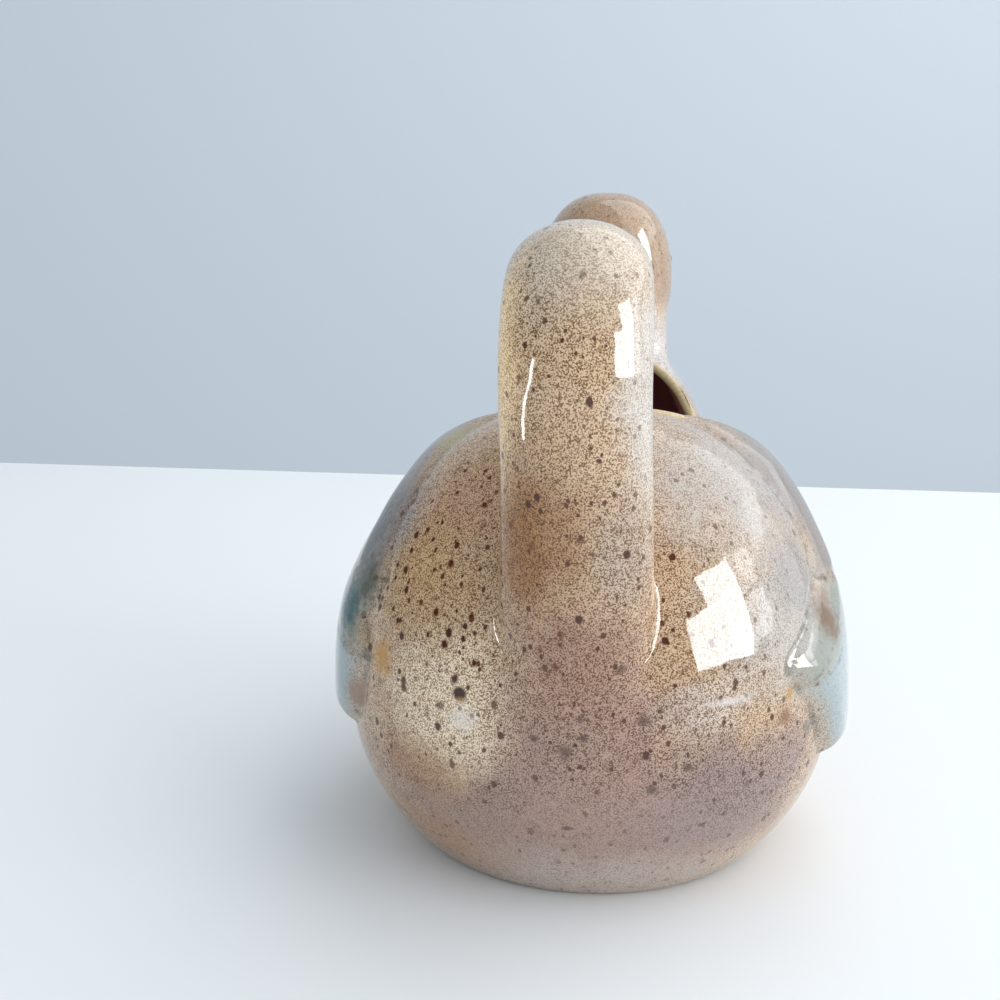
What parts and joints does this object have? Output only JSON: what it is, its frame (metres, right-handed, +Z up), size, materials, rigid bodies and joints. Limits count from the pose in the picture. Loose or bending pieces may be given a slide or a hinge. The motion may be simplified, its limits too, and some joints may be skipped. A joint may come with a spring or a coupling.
{
  "type": "duck pitcher",
  "caption": "Glazed stoneware pitcher in the shape of a sitting duck, filled through a mouth on its back and poured through its bill, with the tail looped up as the handle.",
  "frame": {"origin": "on the table, under the middle of the body's widest section", "axes": "+Y the way the duck faces, +X the duck's right side, +Z up"},
  "size_m": [0.118, 0.1658, 0.1464],
  "materials": {
    "speckled_glaze": "glossy speckled tan glaze over stoneware",
    "rim_glaze": "thin cream glaze on the rim",
    "coverts_glaze": "glossy grey-mauve speckled glaze",
    "secondaries_glaze": "glossy teal glaze that breaks to ochre on the edges",
    "primaries_glaze": "glossy pale blue glaze",
    "bill_glaze": "glossy ochre glaze",
    "eye_glaze": "glossy dark brown glaze",
    "bare_clay": "unglazed fired stoneware"
  },
  "bodies": {
    "root": {"base_slab": "bare_clay", "body_shell": "speckled_glaze", "mouth_rim": "rim_glaze", "neck": "speckled_glaze", "head": "speckled_glaze", "upper_bill": "bill_glaze", "lower_bill": "bill_glaze", "right_eye": "eye_glaze", "left_eye": "eye_glaze", "right_wing_coverts": "coverts_glaze", "right_wing_secondaries": "secondaries_glaze", "right_wing_primaries": "primaries_glaze", "left_wing_coverts": "coverts_glaze", "left_wing_secondaries": "secondaries_glaze", "left_wing_primaries": "primaries_glaze", "tail_handle": "speckled_glaze", "tail_root": "speckled_glaze", "handle_lug": "speckled_glaze"}
  },
  "joints": []
}
